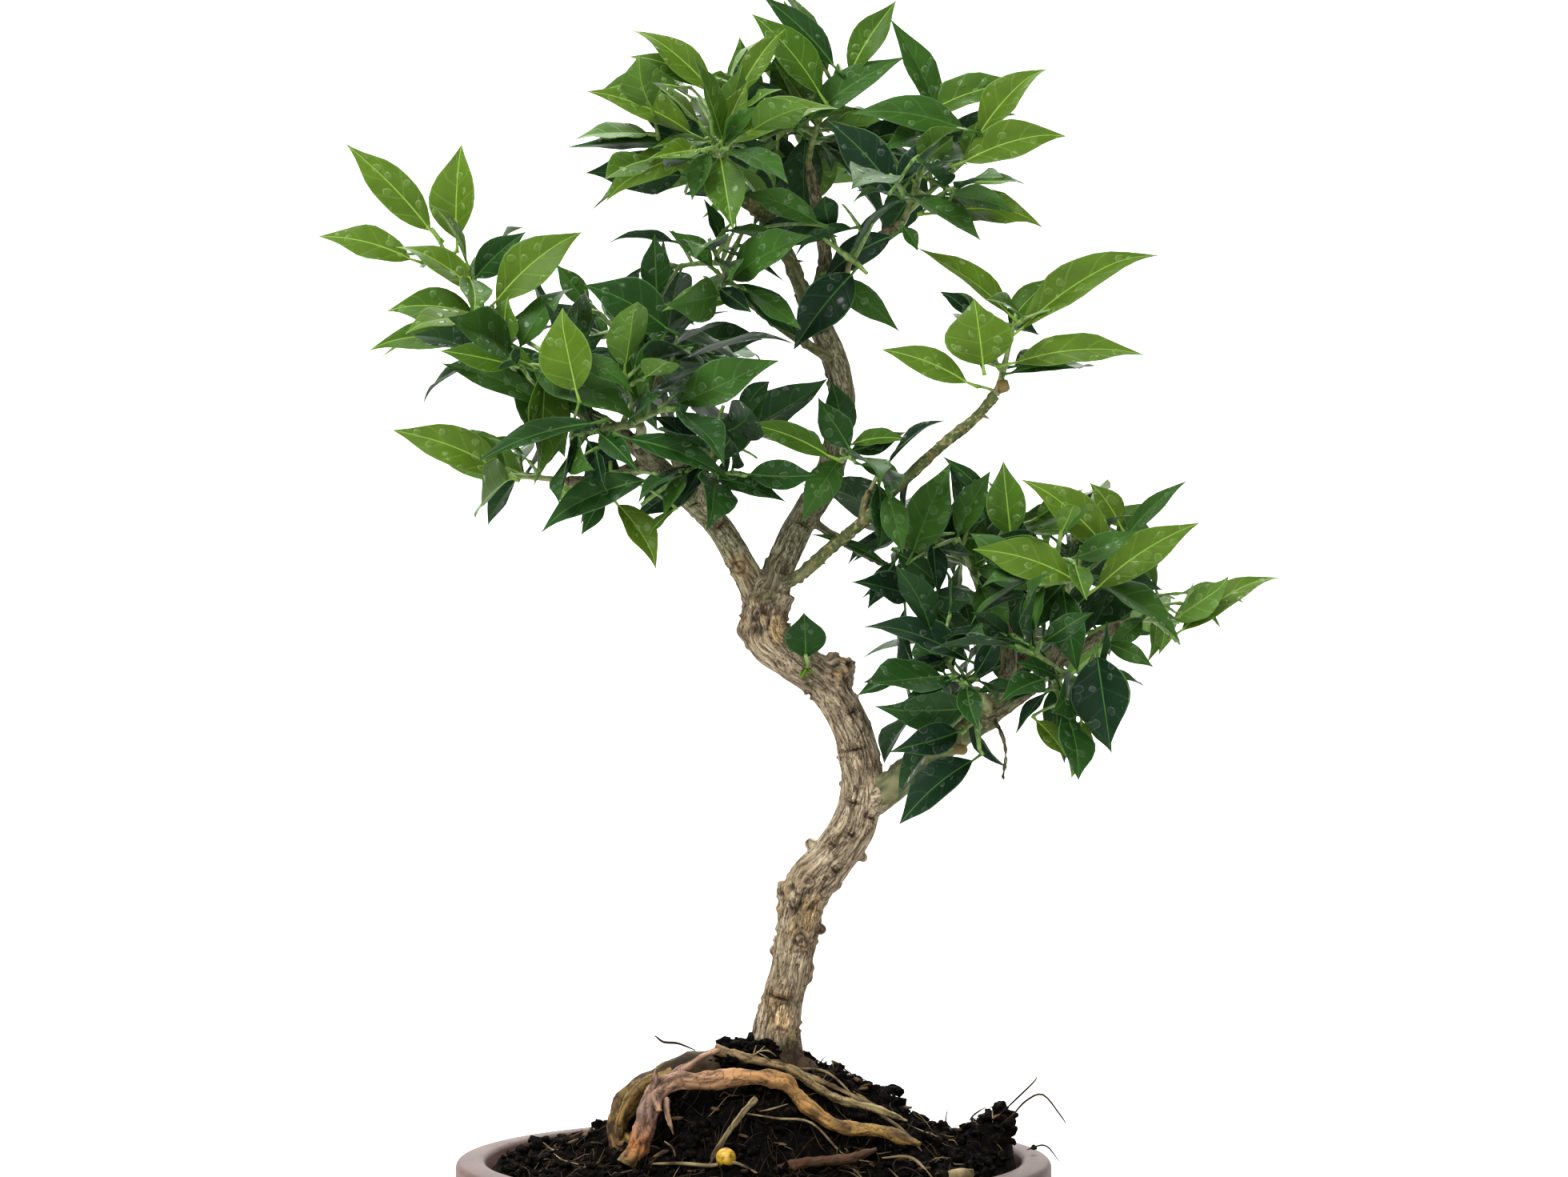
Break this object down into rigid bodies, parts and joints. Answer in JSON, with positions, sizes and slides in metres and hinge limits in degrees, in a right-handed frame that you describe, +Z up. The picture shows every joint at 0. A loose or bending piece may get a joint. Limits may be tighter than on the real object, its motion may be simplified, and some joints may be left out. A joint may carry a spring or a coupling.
{
  "type": "myrtle-leaf orange bonsai in an oval pot",
  "caption": "Small indoor citrus bonsai with an S-bent trunk, open leafy crown and bare arching roots on a soil mound, in an oval glazed pot that stands on its flat underside.",
  "frame": {"origin": "middle of the pot's flat underside, between its two drain holes", "axes": "+Z up along the plant's height, +X along the pot's long way to the right as seen from the front, -Y towards the front"},
  "size_m": [0.3284, 0.1908, 0.477],
  "materials": {
    "glazed_stoneware": "matt mauve brown glaze over stoneware",
    "peat_soil": "moist crumbly peat with bark fibres",
    "trunk_bark": "grey-brown bark with fine dark fissures",
    "young_bark": "olive green bark with pruning scars",
    "root_bark": "smooth orange-brown root bark",
    "citrus_leaf": "waxy green citrus leaf with a pale midrib",
    "feed_pellet": "yellow coated feed pellet"
  },
  "bodies": {
    "root": {"bare_twig": "trunk_bark", "bough_dark": "trunk_bark", "bough_green": "young_bark", "bough_green_side": "young_bark", "bough_leader": "trunk_bark", "bough_left": "trunk_bark", "bough_left_back": "trunk_bark", "bough_left_inner": "trunk_bark", "bough_left_low": "trunk_bark", "bough_left_outer": "trunk_bark", "bough_mid_left": "young_bark", "bough_right": "young_bark", "bough_right_back": "trunk_bark", "bough_right_far": "trunk_bark", "bough_right_low": "trunk_bark", "bough_right_outer": "trunk_bark", "bough_right_up": "trunk_bark", "bough_top_back": "trunk_bark", "bough_top_inner": "trunk_bark", "bough_top_left": "young_bark", "bough_top_right": "trunk_bark", "dead_stick": "root_bark", "feed_pellet": "feed_pellet", "leaf_on_trunk": "citrus_leaf", "leaves_green_side": "citrus_leaf", "leaves_leader": "citrus_leaf", "leaves_left_back": "citrus_leaf", "leaves_left_low": "citrus_leaf", "leaves_left_middle": "citrus_leaf", "leaves_middle": "citrus_leaf", "leaves_right_back": "citrus_leaf", "leaves_right_front": "citrus_leaf", "leaves_right_inner": "citrus_leaf", "leaves_right_low": "citrus_leaf", "leaves_right_middle": "citrus_leaf", "leaves_right_top": "citrus_leaf", "leaves_top_left": "citrus_leaf", "leaves_top_middle": "citrus_leaf", "leaves_top_right": "citrus_leaf", "leaves_wound": "citrus_leaf", "pot": "glazed_stoneware", "root_arch": "root_bark", "root_crossing": "root_bark", "root_front": "root_bark", "root_left": "root_bark", "root_right": "root_bark", "soil": "peat_soil", "spray_low_left": "citrus_leaf", "spray_right_outer": "citrus_leaf", "spray_right_upper": "citrus_leaf", "spray_upper_left": "citrus_leaf", "spur_wound": "trunk_bark", "trunk": "trunk_bark"}
  },
  "joints": []
}
